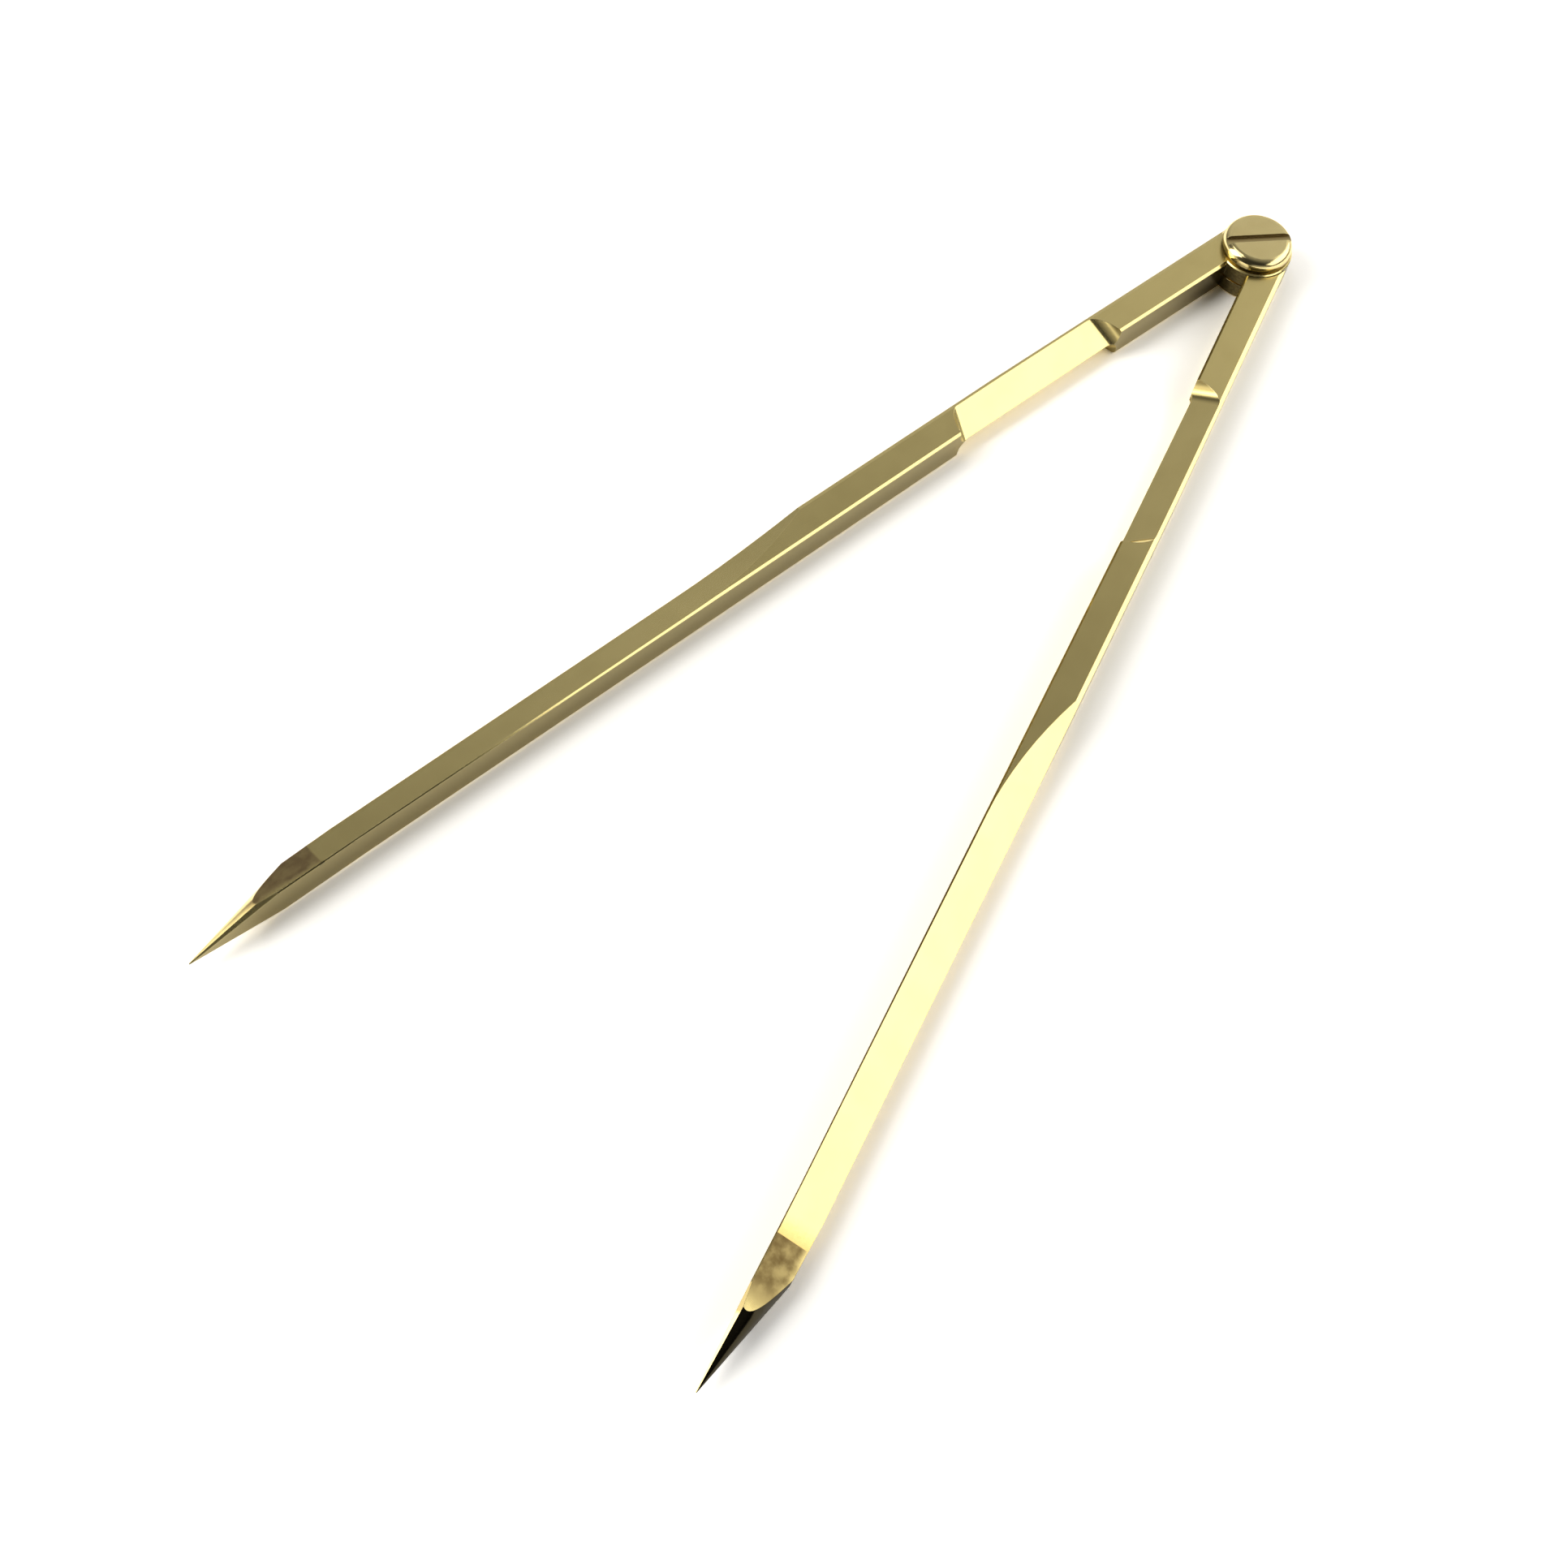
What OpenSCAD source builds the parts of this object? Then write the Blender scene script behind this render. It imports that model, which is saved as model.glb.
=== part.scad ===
// Chart divider: two hinged brass legs with brazed points and a slotted pivot screw.
// Units are millimetres. The origin is on the pivot axis in the plane the legs lie on.
// +Z is up along the pivot axis and the legs point towards -Y.

/* [Layout] */
// Angle between the two legs in degrees
opening_deg = 24.7; // [16:0.1:40]
// Distance from the pivot axis to the tips
tip_x = 160; // [156:0.5:164]
// Length of a point from its seam to its tip
point_len = 17; // [15:0.5:18.5]
// Thickness of both legs
leg_t = 4.6; // [4.4:0.05:4.9]

/* [Blade outline] */
// Inner face's distance from the closing plane beside the hinge
gap_head = 0.38; // [0.3:0.01:0.5]
// Inner face's distance from the closing plane at the widest bow
gap_bow = 0.97; // [0.8:0.01:1.05]
// Inner face's distance from the closing plane where it bends to the tip
gap_bend = 0.42; // [0.35:0.01:0.5]
// Inner face's distance from the closing plane at the tip
gap_tip = 0.02; // [0.01:0.01:0.05]
// Station of the widest bow of the inner face
bow_x = 46; // [40:0.5:48]
// Distance from the tip back to where the inner face bends
bend_len = 22; // [21:0.5:26]
// Outer face's distance from the closing plane beside the hinge
out_head = 4.7; // [4.6:0.01:4.75]
// Outer face's distance from the closing plane at its widest
out_bow = 5; // [4.9:0.01:5.1]
// Station where the outer face is widest
out_bow_x = 42; // [36:0.5:50]
// Outer face's distance from the closing plane where the bevel begins
out_bevel = 4.85; // [4.75:0.01:4.95]
// Station where the outer ridge line begins
bevel_x = 75; // [70:0.5:80]
// Outer ridge's distance from the closing plane where it tapers to the tip
out_taper = 4.15; // [4.1:0.01:4.25]
// Distance from the tip back to where the outer ridge tapers
taper_len = 20; // [19:0.5:20.5]
// Outer face's distance from the closing plane at the tip before grinding
out_tip = 3.15; // [3:0.05:3.3]

/* [Bevel] */
// Width of the top face left beside the inner edge where the bevel is full
bevel_land = 0.18; // [0.1:0.01:0.2]
// Station where the bevel reaches its full depth
bevel_run_x = 92.5; // [90:0.5:96]
// Radius of the wheel-shaped run-out of the bevel
bevel_wheel_r = 112; // [104:1:126]
// Height of the narrow flat left along the outer ridge
ridge_flat = 0.4; // [0.3:0.02:0.5]

/* [Finger recess] */
// Station where the recess begins along its inner ridge
recess_x = 23.6; // [23:0.1:24.5]
// Length of the recess along its inner ridge
recess_len = 27.5; // [26:0.1:29]
// Strip of the top face left beside the outer edge
recess_land = 0.28; // [0.1:0.01:0.4]
// Setback of the recess ridge from the widest bow of the inner face
recess_back = 0.1; // [0.04:0.01:0.2]
// Fillet between the recess floor and its end walls
recess_fillet = 1.8; // [1.4:0.05:2.2]
// Slant of the recess's end walls across the leg in degrees
recess_slant_deg = 13; // [8:1:18]

/* [Edge chamfers] */
// Chamfer of the inner edges beside the hinge
chamfer_head = 0.32; // [0.28:0.01:0.35]
// Chamfer of the inner edges at the tip
chamfer_tip = 0.22; // [0.2:0.01:0.26]
// Chamfer of the outer edges above the bevel
chamfer_outer = 0.5; // [0.44:0.02:0.6]
// Chamfer of the hinge discs and of the shoulders around them
chamfer_disc = 0.15; // [0.1:0.01:0.2]

/* [Hinge] */
// Radius of the half-lap discs
disc_r = 4.8; // [4.78:0.01:4.9]
// Gap between a disc and the other leg's shoulder
disc_clear = 0.12; // [0.1:0.01:0.2]
// Thickness of the friction washer
washer_t = 0.3; // [0.25:0.05:0.4]
// Outer radius of the friction washer
washer_r = 4.4; // [4:0.1:4.6]
// Radius of the screw's shank
shank_r = 2; // [1.9:0.05:2.1]
// Radius of the screw's threaded end
thread_r = 1.5; // [1.4:0.05:1.6]
// Running clearance of the shank and of the thread
bore_clear = 0.03; // [0.02:0.01:0.05]
// Wall left below the blind threaded hole
floor_t = 0.45; // [0.4:0.05:0.55]
// Free length at the bottom of the threaded hole
thread_end_clear = 0.2; // [0.15:0.05:0.25]
// Gap below the shank's shoulder that lets the screw be tightened
shoulder_clear = 0.15; // [0.1:0.05:0.2]

/* [Screw head] */
// Radius of the screw's head
head_r = 4.5; // [4.4:0.05:4.6]
// Height of the screw's head
head_h = 1.8; // [1.7:0.05:2]
// Rounding of the head's upper edge
head_round = 1; // [0.8:0.05:1.1]
// Rounding of the head's lower edge
head_round_low = 0.5; // [0.3:0.05:0.55]
// Width of the driver slot
slot_w = 1.1; // [1:0.05:1.3]
// Depth of the driver slot
slot_d = 0.35; // [0.3:0.05:0.5]
// Direction of the driver slot in degrees from +X
slot_deg = 45; // [0:1:180]

/* [Points] */
// Thickness of the brazed seam
braze_t = 0.12; // [0.1:0.01:0.16]
// Slope of the ground tip under its facets in degrees
grind_deg = 12.8; // [12.4:0.1:13.2]
// Tilt of the grinding cone's axis away from the facet in degrees
grind_tilt_deg = 6.8; // [6:0.2:7.6]
// Length of the sharp end that is blunted off
blunt_len = 0.4; // [0.3:0.05:0.5]
// Distance of the sharp end from the closing plane
sharp_y = 0.08; // [0.06:0.01:0.1]
// Lean of the facet along a tip's inner edge in degrees from level
edge_lean_deg = 42; // [38:1:46]
// Pitch of that facet towards the sharp end in degrees
edge_pitch_deg = 9.5; // [9:0.1:10]
// Depth of that facet at the sharp end
edge_bite = 0.02; // [0.01:0.01:0.03]
// Radius of the hidden tang
tang_r = 0.8; // [0.7:0.05:0.9]
// Length of the tang inside the leg
tang_len = 7; // [5:0.5:9]
// Clearance around the tang
tang_clear = 0.02; // [0.02:0.01:0.04]

/* [Hidden] */
fine = 96;
half_t = leg_t / 2;
half_w = washer_t / 2;
half_open = opening_deg / 2;
far = 60;
over = 1;
// Stations set back from the tip
joint_x = tip_x - point_len;
bend_x = tip_x - bend_len;
taper_x = tip_x - taper_len;
// Outer ridge line and its bevel plane
ridge_m = (out_taper - out_bevel) / (taper_x - bevel_x);
ridge_run_y = out_bevel + ridge_m * (bevel_run_x - bevel_x);
gap_m = (gap_bend - gap_bow) / (bend_x - bow_x);
gap_run = gap_bow + gap_m * (bevel_run_x - bow_x);
half_ridge = ridge_flat / 2;
bevel_deg = atan((half_t - half_ridge) / (ridge_run_y - gap_run - bevel_land));
bevel_back = 40;
bevel_high = 12;
bevel_low = 6;
// Recess floor plane
recess_ridge_y = gap_bow + recess_back;
recess_deg = atan(half_t / (min(out_bow, out_bevel) - recess_land - recess_ridge_y));
recess_high = 6;
recess_reach = recess_len / 2 + over;
// Chamfer sizes along the edges
chamfer_deg = 45;
head_out_m = (out_bow - out_head) / out_bow_x;
chamfer_m = (chamfer_tip - chamfer_head) / tip_x;
head_gap_m = (gap_bow - gap_head) / bow_x;
tip_gap_m = (gap_tip - gap_bend) / (tip_x - bend_x);
chamfer_bow = chamfer_head + chamfer_m * bow_x;
chamfer_bend = chamfer_head + chamfer_m * bend_x;
// Hinge levels measured from the middle of the legs
shoulder_r = disc_r + disc_clear;
hole_low = -half_t + floor_t;
thread_low = hole_low + thread_end_clear;
shank_low = -half_w + shoulder_clear;
// Point sizes
point_x = joint_x + braze_t;
grind_h = 2 * point_len;
grind_start = 0.05;
grind_tan = tan(grind_deg + grind_tilt_deg);
tang_y = gap_bend + (out_taper - gap_bend) / 3;

// A slab of the leg between two stations
module between(x0, x1) {
    intersection() {
        children();
        translate([x0, -far, -far])
            cube([x1 - x0, 2 * far, 2 * far]);
    }
}

// Plan outline of a whole leg with its point
module leg_outline() {
    polygon([
        [0, gap_head],
        [bow_x, gap_bow],
        [bend_x, gap_bend],
        [tip_x, gap_tip],
        [tip_x, out_tip],
        [taper_x, out_taper],
        [bevel_x, out_bevel],
        [out_bow_x, out_bow],
        [0, out_head]
    ]);
}

// Side profile of what the bevel removes: a flat with a round run-out
module bevel_profile() {
    intersection() {
        translate([0, bevel_wheel_r])
            circle(r = bevel_wheel_r, $fn = 4 * fine);
        translate([-bevel_back, 0])
            square([bevel_back, bevel_high]);
    }
    square([tip_x - bevel_run_x + bevel_back, bevel_high]);
}

// What the upper bevel removes
module bevel_cut() {
    translate([bevel_run_x, ridge_run_y, half_ridge])
        rotate([0, 0, atan(ridge_m)])
            rotate([90 - bevel_deg, 0, 0])
                translate([0, 0, -bevel_low])
                    linear_extrude(height = bevel_low + bevel_high)
                        bevel_profile();
}

// Side profile of one half of a finger recess, from its rounded end to past its middle
module recess_profile() {
    translate([recess_fillet, 0])
        square([recess_reach - recess_fillet, recess_high]);
    translate([0, recess_fillet])
        square([recess_reach, recess_high - recess_fillet]);
    translate([recess_fillet, recess_fillet])
        circle(r = recess_fillet, $fn = fine);
}

// What the upper finger recess removes: two halves whose ends slant across the leg
module recess_cut() {
    translate([recess_x + recess_len / 2, recess_ridge_y, 0])
        rotate([90 + recess_deg, 0, 0])
            for (end = [0, 1])
                mirror([end, 0, 0])
                    translate([-recess_len / 2, 0, 0])
                        rotate([0, -recess_slant_deg, 0])
                            translate([0, 0, -bevel_high])
                                linear_extrude(height = bevel_low + bevel_high)
                                    recess_profile();
}

// What the upper inner chamfers remove
module chamfer_cut() {
    lean = cos(chamfer_deg);
    rotate([-chamfer_deg, 0, 0])
        linear_extrude(height = far, center = true)
            polygon([
                [-over, (gap_head + chamfer_head - half_t - over * (head_gap_m + chamfer_m)) * lean],
                [bow_x, (gap_bow + chamfer_bow - half_t) * lean],
                [bend_x, (gap_bend + chamfer_bend - half_t) * lean],
                [tip_x + over, (gap_tip + chamfer_tip - half_t + over * (tip_gap_m + chamfer_m)) * lean],
                [tip_x + over, -far],
                [-over, -far]
            ]);
}

// What the upper outer chamfer removes, at the bevel's own slope
module outer_cut() {
    rise = sin(bevel_deg);
    top = half_t * cos(bevel_deg) - chamfer_outer * rise;
    rotate([90 - bevel_deg, 0, 0])
        linear_extrude(height = far, center = true)
            polygon([
                [-over, top + (out_head - over * head_out_m) * rise],
                [out_bow_x, top + out_bow * rise],
                [bevel_x, top + out_bevel * rise],
                [bevel_run_x, top + ridge_run_y * rise],
                [bevel_run_x, far],
                [-over, far]
            ]);
}

// A whole leg with its point as one blank, lying along +X about the middle plane
module blank() {
    difference() {
        translate([0, 0, -half_t])
            linear_extrude(height = leg_t)
                leg_outline();
        for (flip = [0, 1])
            mirror([0, 0, flip]) {
                bevel_cut();
                recess_cut();
                chamfer_cut();
                outer_cut();
            }
    }
}

// A hinge disc that fills the lower half of the hinge
module disc() {
    rotate_extrude($fn = fine)
        polygon([
            [0, -half_t],
            [disc_r - chamfer_disc, -half_t],
            [disc_r, -half_t + chamfer_disc],
            [disc_r, -half_w],
            [0, -half_w]
        ]);
}

// Room for the other leg's disc in the upper half of a leg
module shoulder() {
    rotate_extrude($fn = fine)
        polygon([
            [0, -half_w],
            [shoulder_r, -half_w],
            [shoulder_r, half_t - chamfer_disc],
            [shoulder_r + chamfer_disc + over, half_t + over],
            [0, half_t + over]
        ]);
}

// A leg with its disc in the lower half, before the hinge hole is made
module leg_bar() {
    difference() {
        union() {
            difference() {
                between(-over, joint_x)
                    blank();
                shoulder();
            }
            disc();
        }
        translate([joint_x - tang_len, tang_y, 0])
            rotate([0, 90, 0])
                cylinder(r = tang_r + tang_clear, h = tang_len + over, $fn = fine);
    }
}

// The brazed seam at the end of a leg
module seam() {
    difference() {
        between(joint_x, point_x)
            blank();
        translate([joint_x - over, tang_y, 0])
            rotate([0, 90, 0])
                cylinder(r = tang_r + tang_clear, h = braze_t + 2 * over, $fn = fine);
    }
}

// The tilted cone that the upper side of a tip is ground to
module grind() {
    translate([tip_x + blunt_len, sharp_y, 0])
        rotate([-bevel_deg, 0, 0])
            rotate([0, -90 - grind_tilt_deg, 0])
                translate([0, 0, grind_start])
                    cylinder(r1 = grind_start * grind_tan, r2 = (grind_start + grind_h) * grind_tan,
                             h = grind_h, $fn = fine);
}

// What the upper facet along a tip's inner edge removes
module edge_cut() {
    translate([tip_x + blunt_len, sharp_y, 0])
        rotate([0, edge_pitch_deg, 0])
            rotate([edge_lean_deg, 0, 0])
                translate([-far, -far, -edge_bite])
                    cube([2 * far, 2 * far, far]);
}

// A point with its ground tip and its tang
module point() {
    difference() {
        intersection() {
            between(point_x, tip_x + over)
                blank();
            grind();
            mirror([0, 0, 1])
                grind();
        }
        for (flip = [0, 1])
            mirror([0, 0, flip])
                edge_cut();
    }
    translate([joint_x - tang_len, tang_y, 0])
        rotate([0, 90, 0])
            cylinder(r = tang_r, h = tang_len + braze_t + over, $fn = fine);
}

// Places a piece of the right leg
module on_right() {
    translate([0, 0, half_t])
        rotate([0, 0, half_open - 90])
            children();
}

// Places a piece of the left leg, which is the right leg turned over
module on_left() {
    translate([0, 0, half_t])
        rotate([0, 0, -half_open - 90])
            rotate([180, 0, 0])
                children();
}

module left_leg() {
    color([0.72, 0.62, 0.34])
        on_left()
            difference() {
                leg_bar();
                translate([0, 0, -half_t - over])
                    cylinder(r = shank_r + bore_clear, h = leg_t + 2 * over, $fn = fine);
            }
}

module right_leg() {
    color([0.72, 0.62, 0.34])
        on_right()
            difference() {
                leg_bar();
                translate([0, 0, hole_low])
                    cylinder(r = thread_r + bore_clear, h = leg_t, $fn = fine);
            }
}

module left_point() {
    color([0.62, 0.55, 0.36])
        on_left()
            point();
}

module right_point() {
    color([0.62, 0.55, 0.36])
        on_right()
            point();
}

module left_braze() {
    color([0.4, 0.32, 0.18])
        on_left()
            seam();
}

module right_braze() {
    color([0.4, 0.32, 0.18])
        on_right()
            seam();
}

module friction_washer() {
    color([0.6, 0.48, 0.25])
        translate([0, 0, half_t - half_w])
            difference() {
                cylinder(r = washer_r, h = washer_t, $fn = fine);
                translate([0, 0, -over])
                    cylinder(r = shank_r + bore_clear, h = washer_t + 2 * over, $fn = fine);
            }
}

// Half section of the screw from its threaded end to its head
module screw_profile() {
    translate([0, thread_low])
        square([thread_r, half_t - thread_low]);
    translate([0, shank_low])
        square([shank_r, half_t - shank_low]);
    translate([0, half_t]) {
        square([head_r - head_round, head_h]);
        square([head_r - head_round_low, head_h - head_round]);
        translate([0, head_round_low])
            square([head_r, head_h - head_round - head_round_low]);
        translate([head_r - head_round, head_h - head_round])
            intersection() {
                circle(r = head_round, $fn = fine);
                square(head_round);
            }
        translate([head_r - head_round_low, head_round_low])
            intersection() {
                circle(r = head_round_low, $fn = fine);
                translate([0, -head_round_low])
                    square(head_round_low);
            }
    }
}

module pivot_screw() {
    color([0.76, 0.65, 0.35])
        translate([0, 0, half_t])
            difference() {
                rotate_extrude($fn = fine)
                    screw_profile();
                rotate([0, 0, slot_deg])
                    translate([-2 * head_r, -slot_w / 2, half_t + head_h - slot_d])
                        cube([4 * head_r, slot_w, slot_d + over]);
            }
}

left_leg();
right_leg();
left_point();
right_point();
left_braze();
right_braze();
friction_washer();
pivot_screw();
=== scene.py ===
"""Dresses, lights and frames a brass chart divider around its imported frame.

The two hinged legs, their brazed points, the washer and the slotted pivot screw are the frame's own
solids. This script gives each of them its finish, then sets the floor, the soft boxes and the camera.
"""

import logging
import math
from dataclasses import dataclass
from enum import Enum
from typing import Any, Optional, Union

import bpy
from mathutils import Matrix, Vector

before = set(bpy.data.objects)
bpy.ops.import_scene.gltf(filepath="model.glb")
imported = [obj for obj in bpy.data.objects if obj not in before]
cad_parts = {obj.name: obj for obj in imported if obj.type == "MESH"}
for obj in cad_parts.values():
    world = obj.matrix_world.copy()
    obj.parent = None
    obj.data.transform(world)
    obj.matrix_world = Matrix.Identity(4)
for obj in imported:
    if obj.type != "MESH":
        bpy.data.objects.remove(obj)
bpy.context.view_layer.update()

MM = 0.001
PER_METRE = 1.0 / MM
UP = Vector((0.0, 0.0, 1.0))
FORWARD = Vector((0.0, -1.0, 0.0))
RIGHTWARD = Vector((1.0, 0.0, 0.0))

Colour = tuple[float, float, float]
Fade = tuple[float, float]
Value = Union["Wire", float]
Key = Union[str, int]

LEG_CLEAN: Colour = (0.82, 0.68, 0.29)
LEG_TARNISH: Colour = (0.70, 0.57, 0.23)
LEG_WORN: Colour = (0.92, 0.80, 0.44)
SEAM_CLEAN: Colour = (0.72, 0.58, 0.24)
SEAM_TARNISH: Colour = (0.62, 0.49, 0.2)
SCREW_CLEAN: Colour = (0.88, 0.735, 0.35)
SCREW_TARNISH: Colour = (0.80, 0.655, 0.295)
WASHER_CLEAN: Colour = (0.42, 0.3, 0.13)
WASHER_TARNISH: Colour = (0.28, 0.19, 0.08)
WASHER_WORN: Colour = (0.5, 0.38, 0.18)

log = logging.getLogger("divider")


class Side(Enum):
    """The two legs, named as they lie in the picture."""

    LEFT = "left"
    RIGHT = "right"


class Wire:
    """One output socket, whose arithmetic adds Math nodes to its graph."""

    def __init__(self, graph: "Graph", socket: bpy.types.NodeSocket) -> None:
        """Keeps the socket and the graph that it belongs to."""
        self.graph = graph
        self.socket = socket

    def __add__(self, other: Value) -> "Wire":
        """Returns this value plus another."""
        return self.graph.math("ADD", self, other)

    __radd__ = __add__

    def __sub__(self, other: Value) -> "Wire":
        """Returns this value less another."""
        return self.graph.math("SUBTRACT", self, other)

    def __rsub__(self, other: Value) -> "Wire":
        """Returns a number less this value."""
        return self.graph.math("SUBTRACT", other, self)

    def __mul__(self, other: Value) -> "Wire":
        """Returns this value times another."""
        return self.graph.math("MULTIPLY", self, other)

    __rmul__ = __mul__

    def __abs__(self) -> "Wire":
        """Returns this value without its sign."""
        return self.graph.math("ABSOLUTE", self, 0.0)


class Graph:
    """A node tree that is built up by calls."""

    def __init__(self, tree: bpy.types.NodeTree) -> None:
        """Empties the tree and keeps it."""
        tree.nodes.clear()
        self.tree = tree

    def add(self, kind: str, settings: Optional[dict[str, Any]] = None,
            inputs: Optional[dict[Key, Any]] = None) -> bpy.types.Node:
        """Adds a node.

        Args:
            kind: The node's type.
            settings: Its settings, which are set before its sockets.
            inputs: Values or wires by socket name or number.

        Returns:
            The new node.
        """
        node = self.tree.nodes.new(kind)
        for name, value in (settings or {}).items():
            setattr(node, name, value)
        for key, value in (inputs or {}).items():
            if isinstance(value, Wire):
                self.tree.links.new(value.socket, node.inputs[key])
            else:
                node.inputs[key].default_value = value
        return node

    def read(self, kind: str, settings: Optional[dict[str, Any]] = None,
             inputs: Optional[dict[Key, Any]] = None, output: Key = 0) -> Wire:
        """Adds a node and picks one of its outputs.

        Args:
            kind: The node's type.
            settings: Its settings.
            inputs: Values or wires by socket name or number.
            output: The output's name or number.

        Returns:
            The output as a wire.
        """
        return Wire(self, self.add(kind, settings, inputs).outputs[output])

    def math(self, operation: str, first: Value, second: Value) -> Wire:
        """Returns a Math node's result for two values."""
        return self.read("ShaderNodeMath", {"operation": operation}, {0: first, 1: second})

    def dot(self, first: Any, second: Any) -> Wire:
        """Returns the dot product of two vectors."""
        return self.read("ShaderNodeVectorMath", {"operation": "DOT_PRODUCT"},
                         {0: first, 1: second}, "Value")

    def step(self, value: Wire, fade: Fade) -> Wire:
        """Fades smoothly from 0 to 1.

        Args:
            value: What is measured.
            fade: Where the fade starts and where it ends, which may lie below the start.

        Returns:
            A wire between 0 and 1.
        """
        return self.read("ShaderNodeMapRange", {"interpolation_type": "SMOOTHSTEP"},
                         {"Value": value, "From Min": fade[0], "From Max": fade[1]}, "Result")

    def mix(self, factor: Value, first: Any, second: Any) -> Wire:
        """Mixes two colours.

        Args:
            factor: The share of the second colour.
            first: A colour or a wire.
            second: A colour or a wire.

        Returns:
            The mixed colour.
        """
        shades = [shade if isinstance(shade, Wire) else (*shade, 1.0) for shade in (first, second)]
        return self.read("ShaderNodeMix", {"data_type": "RGBA"},
                         {0: factor, 6: shades[0], 7: shades[1]}, 2)

    def noise(self, place: Wire, scale: float, detail: float = 2.0) -> Wire:
        """Returns noise between 0 and 1 at a place, with a number of waves per unit of the place."""
        return self.read("ShaderNodeTexNoise", None,
                         {"Vector": place, "Scale": scale, "Detail": detail}, "Fac")

    def place(self) -> Wire:
        """Returns the surface point in millimetres, in the part's own frame."""
        coords = self.read("ShaderNodeTexCoord", output="Object")
        return self.read("ShaderNodeVectorMath", {"operation": "SCALE"},
                         {0: coords, "Scale": PER_METRE}, "Vector")

    def facing(self, way: Vector) -> Wire:
        """Returns how far the surface faces one way, from -1 to 1."""
        return self.dot(self.read("ShaderNodeTexCoord", output="Normal"), way)

    def join(self, x: Value, y: Value, z: Value) -> Wire:
        """Returns three values as one vector."""
        return self.read("ShaderNodeCombineXYZ", None, {"X": x, "Y": y, "Z": z})


@dataclass(frozen=True)
class LegAxes:
    """A leg's own directions: along it from the pivot to the tip, and across it, away from the other."""

    along: Vector
    across: Vector

    @classmethod
    def of(cls, side: Side) -> "LegAxes":
        """Finds a leg's directions from the far end of its point.

        Args:
            side: Which leg.

        Returns:
            The leg's directions.
        """
        corners = [corner.co.to_2d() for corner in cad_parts[f"{side.value}_point"].data.vertices]
        tip = max(corners, key=lambda corner: corner.length).normalized()
        outward = 1.0 if side is Side.RIGHT else -1.0
        return cls(tip.to_3d(), Vector((-tip.y, tip.x, 0.0)) * outward)


@dataclass
class Paint:
    """What a finish says of a surface: its colour, how rough it is, and its relief."""

    colour: Wire
    roughness: Wire
    height: Wire


@dataclass(frozen=True)
class Finish:
    """A metal finish with softly rounded edges, clouded with tarnish."""

    name: str
    clean: Colour
    tarnish: Colour
    worn: Colour
    roughness: float
    edge_mm: float = 0.06
    edge_samples: int = 6
    edge_fade: Fade = (0.995, 0.85)
    relief: float = 0.25
    relief_mm: float = 0.01
    cloud_per_mm: float = 0.35
    cloud_detail: float = 3.0
    cloud_fade: Fade = (0.35, 0.75)
    grain_per_mm: float = 9.0
    grain_roughness: float = 0.08

    def cloud(self, graph: Graph) -> Wire:
        """Returns where the metal is tarnished, from 0 to 1."""
        return graph.step(graph.noise(graph.place(), self.cloud_per_mm, self.cloud_detail), self.cloud_fade)

    def grain(self, graph: Graph) -> Wire:
        """Returns the metal's fine grain, between 0 and 1."""
        return graph.noise(graph.place(), self.grain_per_mm)

    def paint(self, graph: Graph, edge: Wire) -> Paint:
        """Works out the surface.

        Args:
            graph: The material's graph.
            edge: How near a sharp edge is, from 0 to 1.

        Returns:
            The surface's colour, roughness and relief.
        """
        grain = self.grain(graph)
        colour = graph.mix(self.cloud(graph), self.clean, self.tarnish)
        return Paint(graph.mix(edge, colour, self.worn), self.roughness + grain * self.grain_roughness, grain)

    def rounded(self, graph: Graph, flat: Wire) -> Wire:
        """Softens the sharp edges.

        Args:
            graph: The material's graph.
            flat: The normal without soft edges, which some finishes keep in places.

        Returns:
            The normal.
        """
        return graph.read("ShaderNodeBevel", {"samples": self.edge_samples}, {"Radius": self.edge_mm * MM})

    def make(self) -> bpy.types.Material:
        """Returns the finish as a material."""
        material = bpy.data.materials.new(self.name)
        material.use_nodes = True
        graph = Graph(material.node_tree)
        flat = graph.read("ShaderNodeNewGeometry", output="Normal")
        rounded = self.rounded(graph, flat)
        paint = self.paint(graph, graph.step(graph.dot(rounded, flat), self.edge_fade))
        normal = graph.read("ShaderNodeBump", None,
                            {"Strength": self.relief, "Distance": self.relief_mm * MM,
                             "Height": paint.height, "Normal": rounded}, "Normal")
        surface = graph.read("ShaderNodeBsdfPrincipled", None,
                             {"Base Color": paint.colour, "Metallic": 1.0,
                              "Roughness": paint.roughness, "Normal": normal}, "BSDF")
        graph.add("ShaderNodeOutputMaterial", None, {"Surface": surface})
        return material


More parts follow.
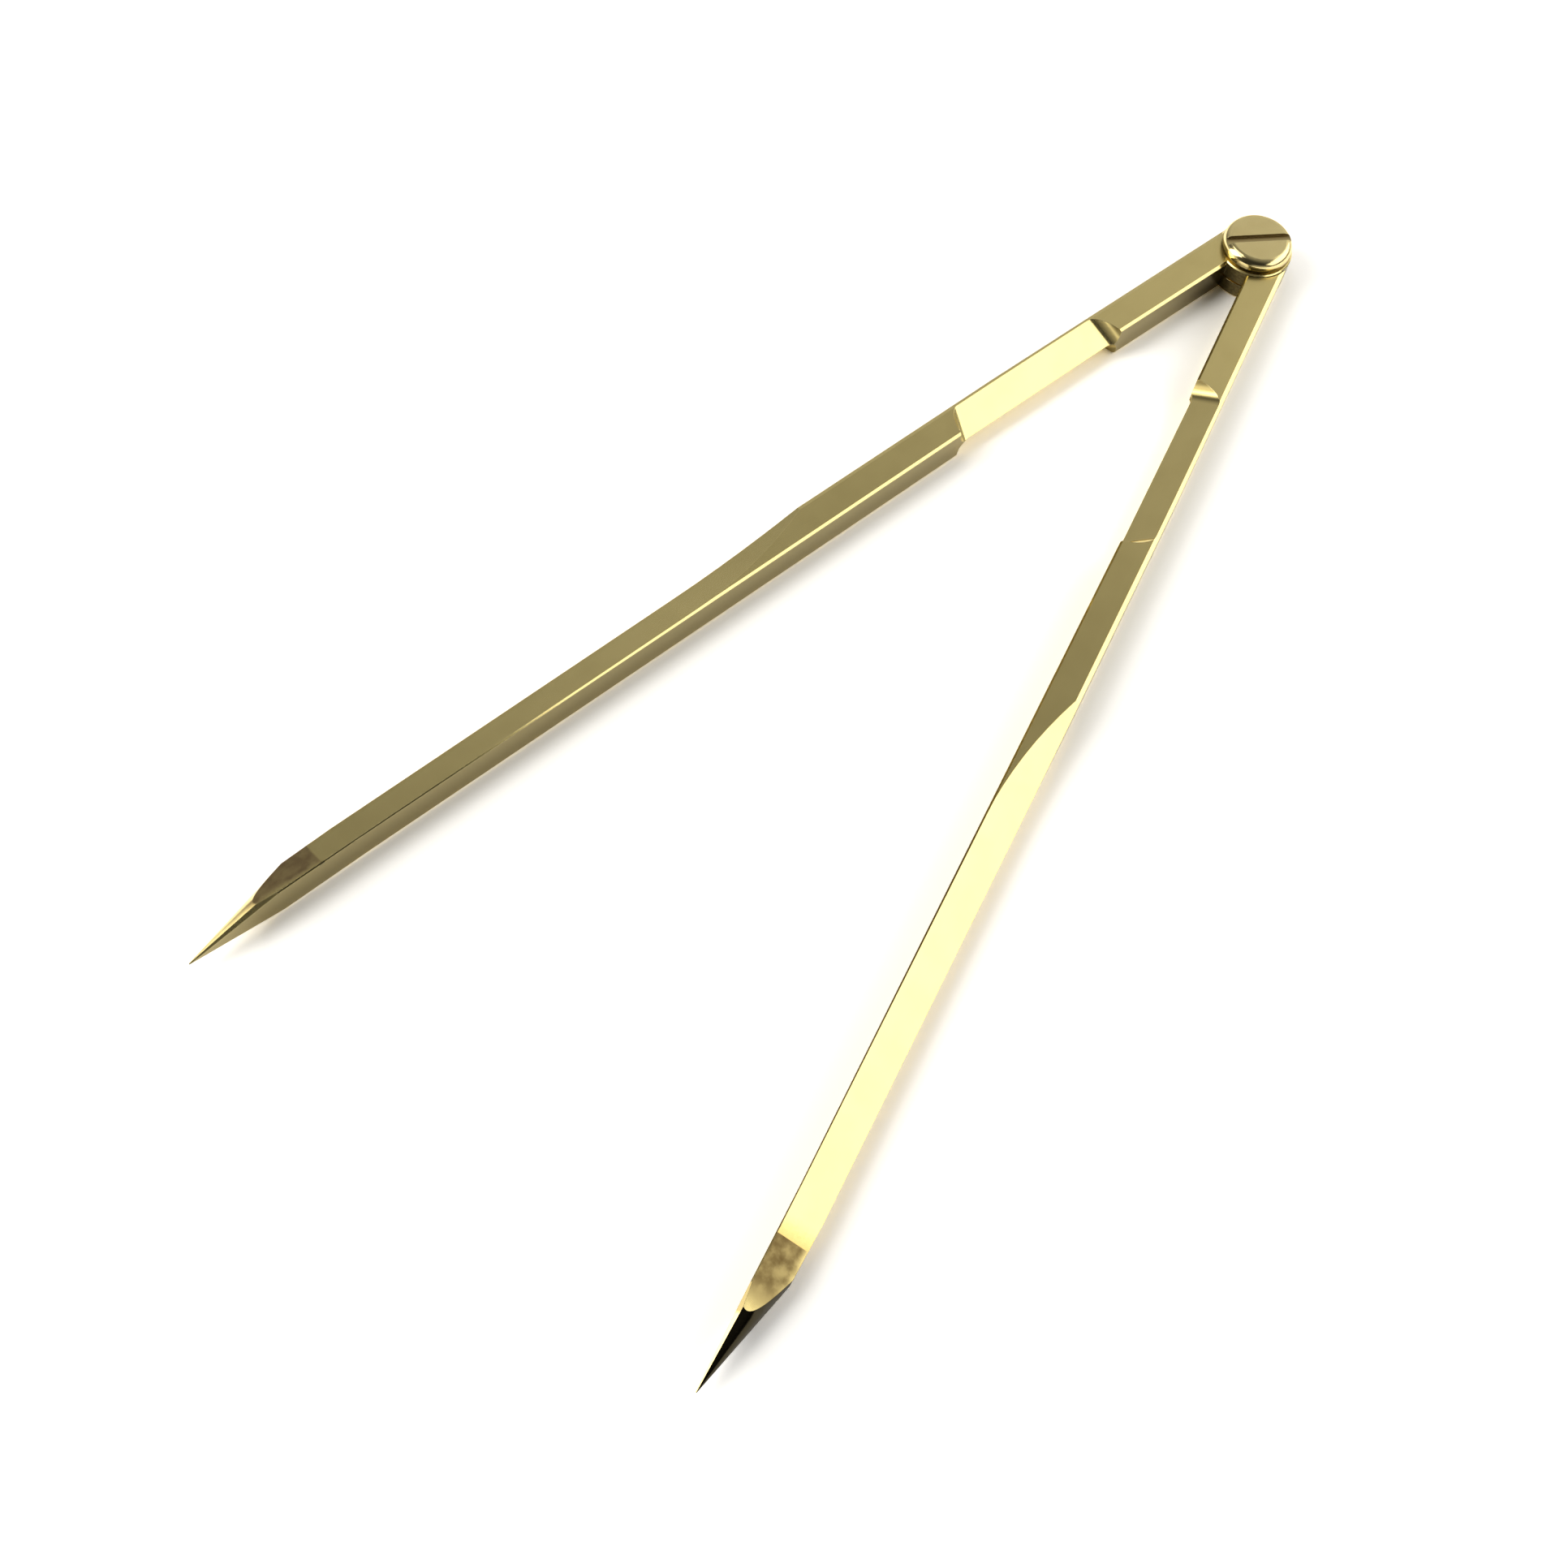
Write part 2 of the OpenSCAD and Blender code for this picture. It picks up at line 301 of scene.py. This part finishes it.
@dataclass(frozen=True)
class MarkedFinish(Finish):
    """A finish with fine tool marks, satin on its flats and polished elsewhere."""

    polished_roughness: float = 0.1
    flat_fade: Fade = (0.97, 0.995)
    marks_detail: float = 3.0
    marks_share: float = 0.2
    marks_roughness: float = 0.04
    marks_relief: float = 0.6
    cloud_detail: float = 4.0
    cloud_share: float = 0.35
    grain_roughness: float = 0.04
    grain_relief: float = 0.4
    worn_share: float = 0.4

    def marks(self, graph: Graph, stretched: Wire) -> Wire:
        """Returns tool marks between 0 and 1, from a place that is stretched along their run."""
        return graph.noise(stretched, 1.0, self.marks_detail)

    def brass(self, graph: Graph, marks: Wire) -> Wire:
        """Returns the metal's colour with its clouds and its marks."""
        tarnish_and_side_shade = self.cloud(graph) * self.cloud_share + marks * self.marks_share
        return graph.mix(tarnish_and_side_shade, self.clean, self.tarnish)

    def satin(self, flat: Wire, marks: Wire, grain: Wire) -> Wire:
        """Works out how rough the metal is.

        Args:
            flat: 1 on the satin flats and 0 elsewhere.
            marks: The tool marks.
            grain: The fine grain.

        Returns:
            The roughness.
        """
        return (self.polished_roughness + flat * (self.roughness - self.polished_roughness)
                + marks * self.marks_roughness + grain * self.grain_roughness)

    def height(self, marks: Wire, grain: Wire) -> Wire:
        """Returns the relief of the marks and the grain."""
        return marks * self.marks_relief + grain * self.grain_relief


@dataclass(frozen=True)
class LegFinish(MarkedFinish):
    """Brass that is satin on a leg's flats and polished on its ground facets, with painted shade on its sides
    and in its crotch and a painted dark reflection along its chamfer.
    """

    axes: Optional[LegAxes] = None
    cloud_per_mm: float = 0.22
    grain_per_mm: float = 7.0
    brush_along_per_mm: float = 0.12
    brush_across_per_mm: float = 5.0
    upright_fade: Fade = (0.4, 0.1)
    upright_roughness: float = 0.12
    inward_fade: Fade = (-0.4, -0.6)
    slope_fade: Fade = (0.5, 0.6)
    chamfer_roughness: float = 0.08
    milled_fade: Fade = (0.25, 0.55)
    milled_roughness: float = 0.2
    seam_mm: float = 143.06
    seam_reach_mm: float = 0.4
    ragged_per_mm: float = 3.0
    # Painted shade on the upright sides, standing in for their reflection of the shaded floor beside the leg.
    tarnish_and_side_shade: Colour = (0.33, 0.27, 0.115)
    heat: Colour = (0.52, 0.35, 0.11)
    heat_share: float = 0.0
    heat_before_mm: float = 2.0
    heat_past_mm: float = 0.6
    # Painted dark reflection along the inner chamfer, standing in for the other leg's side mirrored in it.
    chamfer_dark_reflection: Colour = (0.26, 0.2, 0.085)
    chamfer_reflection_share: float = 0.0
    chamfer_reflection_start_mm: Fade = (78.0, 100.0)
    chamfer_reflection_end_mm: Fade = (152.0, 151.5)
    # Painted shade in the crotch by the pivot, on upright faces that face forward.
    crotch: Colour = (0.13, 0.1, 0.042)
    crotch_mm: Fade = (17.0, 6.0)
    crotch_ragged_mm: float = 3.0
    crotch_base: float = 0.35
    forward_fade: Fade = (0.0, 0.2)

    def lean(self, graph: Graph) -> Wire:
        """Returns how level a surface is, from 0 on an upright side to 1 on a flat."""
        return abs(graph.facing(UP))

    def upright(self, graph: Graph) -> Wire:
        """Returns 1 on the upright sides and 0 elsewhere."""
        return graph.step(self.lean(graph), self.upright_fade)

    def chamfer(self, graph: Graph) -> Wire:
        """Returns 1 on the chamfers of the inner edges and 0 elsewhere."""
        inward = graph.step(graph.facing(self.axes.across), self.inward_fade)
        return inward * graph.step(self.lean(graph), self.slope_fade)

    def along(self, graph: Graph) -> Wire:
        """Returns the distance from the pivot along the leg in millimetres."""
        return graph.dot(graph.place(), self.axes.along)

    def across(self, graph: Graph) -> Wire:
        """Returns the distance from the closing plane across the leg in millimetres."""
        return graph.dot(graph.place(), self.axes.across)

    def rounded(self, graph: Graph, flat: Wire) -> Wire:
        """Softens the sharp edges, but not those at the brazed seam, where the pieces run on.

        Args:
            graph: The material's graph.
            flat: The normal without soft edges.

        Returns:
            The normal.
        """
        soft = super().rounded(graph, flat)
        away = abs(self.along(graph) - self.seam_mm)
        joined = graph.step(away, (self.seam_reach_mm, self.seam_reach_mm / 2.0))
        return graph.read("ShaderNodeMix", {"data_type": "VECTOR"}, {0: joined, 4: soft, 5: flat}, 1)

    def tinted_and_shaded(self, graph: Graph, colour: Wire) -> Wire:
        """Paints shade on the sides, tints the seam, paints a dark reflection along the chamfer and paints
        shade in the crotch.

        Args:
            graph: The material's graph.
            colour: The clean brass.

        Returns:
            The tinted brass with its painted shade and painted reflection.
        """
        along = self.along(graph)
        ragged_noise = graph.noise(graph.place(), self.ragged_per_mm)
        upright = self.upright(graph)
        heated = graph.step(along + ragged_noise, (self.seam_mm - self.heat_before_mm,
                                           self.seam_mm + self.heat_past_mm))
        colour = graph.mix(heated * self.heat_share, colour, self.heat)
        # Painted shade on the upright sides.
        colour = graph.mix(upright, colour, self.tarnish_and_side_shade)
        # Painted dark reflection along the inner chamfer.
        chamfer_reflecting = (self.chamfer(graph) * graph.step(along, self.chamfer_reflection_start_mm)
                 * graph.step(along, self.chamfer_reflection_end_mm))
        colour = graph.mix(chamfer_reflecting * self.chamfer_reflection_share, colour, self.chamfer_dark_reflection)
        # Painted shade in the crotch near the pivot.
        deep = graph.step(along + ragged_noise * self.crotch_ragged_mm, self.crotch_mm)
        forward = graph.step(graph.facing(FORWARD), self.forward_fade)
        return graph.mix(upright * forward * deep * (self.crotch_base + ragged_noise), colour, self.crotch)

    def paint(self, graph: Graph, edge: Wire) -> Paint:
        """Works out the surface of a leg.

        Args:
            graph: The material's graph.
            edge: How near a sharp edge is, from 0 to 1.

        Returns:
            The surface's colour, roughness and relief.
        """
        marks = self.marks(graph, graph.join(self.along(graph) * self.brush_along_per_mm,
                                             self.across(graph) * self.brush_across_per_mm,
                                             graph.dot(graph.place(), UP) * self.brush_across_per_mm))
        grain = self.grain(graph)
        colour = self.tinted_and_shaded(graph, self.brass(graph, marks))
        milled = graph.step(abs(graph.facing(self.axes.along)), self.milled_fade)
        rough = (self.satin(graph.step(self.lean(graph), self.flat_fade), marks, grain)
                 + self.chamfer(graph) * (self.chamfer_roughness - self.polished_roughness)
                 + self.upright(graph) * self.upright_roughness + milled * self.milled_roughness)
        return Paint(graph.mix(edge * self.worn_share, colour, self.worn), rough, self.height(marks, grain))


@dataclass(frozen=True)
class Stain:
    """How the brazing heat has browned a point's facet, how much painted dark reflection covers its cone, and
    how scuffed its cone is.
    """

    base: float
    core: float
    mottle: float
    end_mm: Fade
    inner_mm: Fade
    outer_mm: Fade
    # Share of the painted dark reflection on the cone's outer side.
    cone_reflection_share: float
    scuffed: float


STAINS = {
    Side.LEFT: Stain(base=0.52, core=0.36, mottle=0.12, end_mm=(159.0, 155.0), inner_mm=(0.7, 1.6),
                     outer_mm=(5.0, 4.8), cone_reflection_share=0.0, scuffed=0.16),
    Side.RIGHT: Stain(base=0.3, core=0.4, mottle=0.28, end_mm=(154.5, 150.5), inner_mm=(-0.5, 0.0),
                      outer_mm=(3.7, 2.3), cone_reflection_share=0.97, scuffed=0.0),
}


@dataclass(frozen=True)
class PointFinish(LegFinish):
    """Polished point metal that the brazing heat has stained brown beside its seam, with a painted dark
    reflection on its cone where its stain calls for one.
    """

    side: Side = Side.LEFT
    brown: Colour = (0.13, 0.085, 0.03)
    # Colour of the painted dark reflection on the cone's outer side.
    cone_dark_reflection: Colour = (0.02, 0.017, 0.012)
    blotch_per_mm: float = 0.6
    blotch_detail: float = 5.0
    blotch_reach_mm: float = 5.0
    mottle_fade: Fade = (0.3, 0.7)
    facet_fade: Fade = (0.7, 0.8)
    cone_fade: Fade = (0.05, 0.15)
    outward_fade: Fade = (-0.2, 0.2)
    stain_roughness: float = 0.25

    def stained(self, graph: Graph, stain: Stain) -> Wire:
        """Works out where the facet is brown.

        Args:
            graph: The material's graph.
            stain: This point's stain.

        Returns:
            The share of brown, from 0 to 1.
        """
        across = self.across(graph)
        blotch = graph.noise(graph.place(), self.blotch_per_mm, self.blotch_detail)
        core = (graph.step(self.along(graph) + blotch * self.blotch_reach_mm, stain.end_mm)
                * graph.step(across + blotch, stain.inner_mm) * graph.step(across - blotch, stain.outer_mm))
        depth = stain.core + graph.step(blotch, self.mottle_fade) * stain.mottle
        return graph.step(self.lean(graph), self.facet_fade) * (stain.base + core * depth)

    def paint(self, graph: Graph, edge: Wire) -> Paint:
        """Works out the surface of a point.

        Args:
            graph: The material's graph.
            edge: How near a sharp edge is, from 0 to 1.

        Returns:
            The surface's colour, roughness and relief.
        """
        bare = super().paint(graph, edge)
        stain = STAINS[self.side]
        stained = self.stained(graph, stain)
        cone = graph.step(graph.facing(self.axes.along), self.cone_fade)
        outward = graph.step(graph.facing(self.axes.across), self.outward_fade)
        colour = graph.mix(stained, bare.colour, self.brown)
        # Painted dark reflection on the cone's outer side.
        colour = graph.mix(cone * outward * stain.cone_reflection_share, colour, self.cone_dark_reflection)
        rough = bare.roughness + stained * self.stain_roughness + self.chamfer(graph) * cone * stain.scuffed
        return Paint(colour, rough, bare.height)


@dataclass(frozen=True)
class ScrewFinish(MarkedFinish):
    """Turned brass with faint rings about the pivot axis, satin on top, with painted shade in its slot and on
    the faces that turn downwards.
    """

    cloud_per_mm: float = 0.5
    cloud_share: float = 0.5
    grain_per_mm: float = 8.0
    rings_per_mm: float = 6.0
    worn_share: float = 0.5
    # Painted shade on the faces that turn downwards under the head.
    under: Colour = (0.12, 0.09, 0.04)
    under_fade: Fade = (0.15, -0.15)
    under_share: float = 0.9
    # Painted shade on the slot's floor, darkest along its far side.
    slot: Colour = (0.22, 0.15, 0.06)
    slot_deg: float = 45.0
    slot_half_mm: float = 0.5
    slot_height_mm: Fade = (6.3, 6.15)
    slot_near_share: float = 0.4

    def rings(self, graph: Graph) -> Wire:
        """Returns the turning marks, which depend on the distance from the pivot axis alone."""
        level = graph.read("ShaderNodeVectorMath", {"operation": "MULTIPLY"},
                           {0: graph.place(), 1: (1.0, 1.0, 0.0)}, "Vector")
        radius = graph.read("ShaderNodeVectorMath", {"operation": "LENGTH"}, {0: level}, "Value")
        return self.marks(graph, graph.join(radius * self.rings_per_mm, 0.0, 0.0))

    def slot_shade_share(self, graph: Graph, top: Wire) -> Wire:
        """Works out the painted shade on the slot's floor, which is darkest along its far side.

        Args:
            graph: The material's graph.
            top: 1 on what faces up and 0 elsewhere.

        Returns:
            The share of the painted slot shade, from 0 to 1.
        """
        turn = math.radians(self.slot_deg)
        beside = graph.dot(graph.place(), Vector((-math.sin(turn), math.cos(turn), 0.0)))
        far = graph.step(beside, (-self.slot_half_mm, self.slot_half_mm))
        shade = far * (1.0 - self.slot_near_share) + self.slot_near_share
        return top * graph.step(graph.dot(graph.place(), UP), self.slot_height_mm) * shade

    def paint(self, graph: Graph, edge: Wire) -> Paint:
        """Works out the surface of the screw.

        Args:
            graph: The material's graph.
            edge: How near a sharp edge is, from 0 to 1.

        Returns:
            The surface's colour, roughness and relief.
        """
        rings = self.rings(graph)
        grain = self.grain(graph)
        upward = graph.facing(UP)
        top = graph.step(upward, self.flat_fade)
        colour = self.brass(graph, rings)
        # Painted shade on the downward faces.
        colour = graph.mix(graph.step(upward, self.under_fade) * self.under_share, colour, self.under)
        # Painted shade on the slot's floor.
        colour = graph.mix(self.slot_shade_share(graph, top), colour, self.slot)
        return Paint(graph.mix(edge * self.worn_share, colour, self.worn), self.satin(top, rings, grain),
                     self.height(rings, grain))


def dress(node: str, finish: Finish) -> None:
    """Gives a node of the frame its finish.

    Args:
        node: The node's name.
        finish: What its surface is.
    """
    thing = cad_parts[node]
    material = finish.make()
    if not thing.material_slots:
        thing.data.materials.append(material)
    for slot in thing.material_slots:
        slot.material = material
    log.info("dressed %s as %s", node, finish.name)


@dataclass(frozen=True)
class Leg:
    """One leg with its brazed point, and how much painted dark reflection along its chamfer and heat tint it
    carries.
    """

    side: Side
    chamfer_reflection_share: float = 0.0
    heat_share: float = 0.0
    leg_roughness: float = 0.2
    point_roughness: float = 0.16

    def dress(self) -> None:
        """Gives the leg, its seam and its point their finishes."""
        name = self.side.value
        leg_settings = {"axes": LegAxes.of(self.side), "chamfer_reflection_share": self.chamfer_reflection_share}
        dress(f"{name}_leg", LegFinish(f"{name}_leg_brass", LEG_CLEAN, LEG_TARNISH, LEG_WORN,
                                       self.leg_roughness, heat_share=self.heat_share, **leg_settings))
        dress(f"{name}_braze", LegFinish(f"{name}_braze_seam", SEAM_CLEAN, SEAM_TARNISH, LEG_WORN,
                                         self.leg_roughness, heat_share=self.heat_share, **leg_settings))
        dress(f"{name}_point", PointFinish(f"{name}_point_metal", LEG_CLEAN, LEG_TARNISH, LEG_WORN,
                                           self.point_roughness, side=self.side, **leg_settings))


@dataclass(frozen=True)
class Hinge:
    """The pivot screw and the washer that it clamps."""

    screw_roughness: float = 0.22
    washer_roughness: float = 0.35
    washer_edge_mm: float = 0.03

    def dress(self) -> None:
        """Gives the screw and the washer their finishes."""
        dress("pivot_screw", ScrewFinish("screw_brass", SCREW_CLEAN, SCREW_TARNISH, LEG_WORN,
                                         self.screw_roughness))
        dress("friction_washer", Finish("washer_bronze", WASHER_CLEAN, WASHER_TARNISH, WASHER_WORN,
                                        self.washer_roughness, edge_mm=self.washer_edge_mm))


@dataclass(frozen=True)
class SoftBox:
    """A rectangular lamp that is aimed at the divider, with an even glow over its face."""

    name: str
    centre: Vector
    width: float
    height: float
    radiance: float
    aim: Vector = Vector((0.0, -0.05, 0.0))
    colour: Colour = (1.0, 0.985, 0.95)

    def build(self) -> bpy.types.Object:
        """Returns the lamp, set up and aimed."""
        lamp = bpy.data.lights.new(self.name, "AREA")
        lamp.shape = "RECTANGLE"
        lamp.size = self.width
        lamp.size_y = self.height
        lamp.energy = self.radiance * math.pi * self.width * self.height
        lamp.color = self.colour
        holder = bpy.data.objects.new(self.name, lamp)
        holder.location = self.centre
        holder.rotation_euler = (self.aim - self.centre).to_track_quat("-Z", "Y").to_euler()
        bpy.context.scene.collection.objects.link(holder)
        return holder


def heading(azimuth_deg: float, elevation_deg: float) -> Vector:
    """Turns two angles into a direction.

    Args:
        azimuth_deg: Degrees from +X towards +Y.
        elevation_deg: Degrees above the floor.

    Returns:
        A vector of length 1.
    """
    azimuth, elevation = math.radians(azimuth_deg), math.radians(elevation_deg)
    return Vector((math.cos(azimuth) * math.cos(elevation), math.sin(azimuth) * math.cos(elevation),
                   math.sin(elevation)))


@dataclass(frozen=True)
class Floor:
    """The pale floor that the divider lies on, which shows white where nothing shades it."""

    half_side: float = 4.0
    albedo: Colour = (0.80, 0.79, 0.77)
    shown: Colour = (1.55, 1.54, 1.52)

    def build(self) -> bpy.types.Object:
        """Returns the floor, with its material."""
        side = self.half_side
        mesh = bpy.data.meshes.new("floor")
        mesh.from_pydata([(-side, -side, 0.0), (side, -side, 0.0), (side, side, 0.0), (-side, side, 0.0)],
                         [], [(0, 1, 2, 3)])
        mesh.materials.append(self.material())
        floor = bpy.data.objects.new("floor", mesh)
        bpy.context.scene.collection.objects.link(floor)
        return floor

    def material(self) -> bpy.types.Material:
        """Returns the floor's material: matt, and white to the camera and in reflections."""
        material = bpy.data.materials.new("floor_paper")
        material.use_nodes = True
        graph = Graph(material.node_tree)
        camera, glossy, through = [graph.read("ShaderNodeLightPath", output=f"Is {kind} Ray")
                                   for kind in ("Camera", "Glossy", "Transmission")]
        seen = graph.math("MAXIMUM", graph.math("MAXIMUM", camera, glossy), through)
        colour = graph.mix(seen, self.albedo, self.shown)
        matt = graph.read("ShaderNodeBsdfDiffuse", None, {"Color": colour})
        graph.add("ShaderNodeOutputMaterial", None, {"Surface": matt})
        return material


@dataclass(frozen=True)
class Room:
    """The room's own light: bright behind the divider, dim overhead, and low at the viewer's sides."""

    tint: Colour = (1.0, 0.985, 0.96)
    dark_level: float = 0.03
    back_level: float = 0.56
    back_azimuth_deg: float = 98.0
    back_elevation_deg: float = 30.0
    back_fade: Fade = (0.0, 1.0)
    overhead_fade: Fade = (0.71, 0.85)
    overhead_dimming: float = 0.62
    glow_level: float = 0.4
    glow_front_fade: Fade = (0.0, 0.5)
    glow_aside_fade: Fade = (0.3, 0.55)
    glow_low_fade: Fade = (0.5, 0.2)

    def build(self) -> None:
        """Sets the scene's world."""
        world = bpy.data.worlds.new("room")
        bpy.context.scene.world = world
        world.use_nodes = True
        graph = Graph(world.node_tree)
        direction = graph.read("ShaderNodeTexCoord", output="Generated")
        height = graph.dot(direction, UP)
        behind = heading(self.back_azimuth_deg, self.back_elevation_deg)
        back = (graph.step(graph.dot(direction, behind), self.back_fade) * self.back_level
                * (1.0 - graph.step(height, self.overhead_fade) * self.overhead_dimming))
        glow = (graph.step(graph.dot(direction, FORWARD), self.glow_front_fade)
                * graph.step(abs(graph.dot(direction, RIGHTWARD)), self.glow_aside_fade)
                * graph.step(height, self.glow_low_fade) * self.glow_level)
        light = graph.read("ShaderNodeBackground", None,
                           {"Color": (*self.tint, 1.0), "Strength": back + glow + self.dark_level})
        graph.add("ShaderNodeOutputWorld", None, {"Surface": light})


@dataclass(frozen=True)
class Viewer:
    """The camera, held as the picture was taken."""

    place: Vector = Vector((0.0488, -0.17866, 0.1907))
    heading_deg: float = 31.506
    pitch_deg: float = 26.16
    roll_deg: float = 7.625
    focal_pixels: float = 2317.1
    picture_pixels: float = 1932.0
    sensor_mm: float = 36.0
    nearest: float = 0.005

    def build(self) -> bpy.types.Object:
        """Returns the camera, in place and in use."""
        lens = bpy.data.cameras.new("viewer")
        lens.sensor_fit = "HORIZONTAL"
        lens.sensor_width = self.sensor_mm
        lens.lens = self.focal_pixels / self.picture_pixels * self.sensor_mm
        lens.clip_start = self.nearest
        camera = bpy.data.objects.new("viewer", lens)
        pose = Matrix.Translation(self.place)
        for angle_deg, axis in ((self.heading_deg, "Z"), (self.pitch_deg, "X"), (self.roll_deg, "Z")):
            pose = pose @ Matrix.Rotation(math.radians(angle_deg), 4, axis)
        camera.matrix_world = pose
        bpy.context.scene.collection.objects.link(camera)
        bpy.context.scene.camera = camera
        return camera


@dataclass(frozen=True)
class Studio:
    """The floor, the lamps, the room's light and the camera."""

    boxes: tuple[SoftBox, ...] = (
        SoftBox("right_box", centre=Vector((0.225, 0.096, 0.19)), width=0.52, height=0.21, radiance=1.75,
                aim=Vector((0.043, -0.092, 0.0))),
        SoftBox("front_box", centre=Vector((-0.456, -0.472, 0.46)), width=0.34, height=0.6, radiance=5.6),
        SoftBox("left_card", centre=Vector((-0.2, -0.185, 0.045)), width=0.1, height=0.09, radiance=3.2,
                aim=Vector((-0.03, -0.12, 0.045))),
        SoftBox("top_box", centre=Vector((-0.2, -0.075, 0.5)), width=0.25, height=0.2, radiance=2.2),
    )

    def build(self) -> None:
        """Sets the stage."""
        bpy.context.scene.view_settings.view_transform = "Standard"
        Floor().build()
        for box in self.boxes:
            box.build()
        Room().build()
        Viewer().build()
        log.info("stage set")


def main() -> None:
    """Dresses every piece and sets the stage."""
    logging.basicConfig(level=logging.INFO, format="%(message)s")
    Leg(Side.LEFT).dress()
    Leg(Side.RIGHT, chamfer_reflection_share=0.9, heat_share=0.7).dress()
    Hinge().dress()
    Studio().build()


if __name__ == "__main__":
    main()
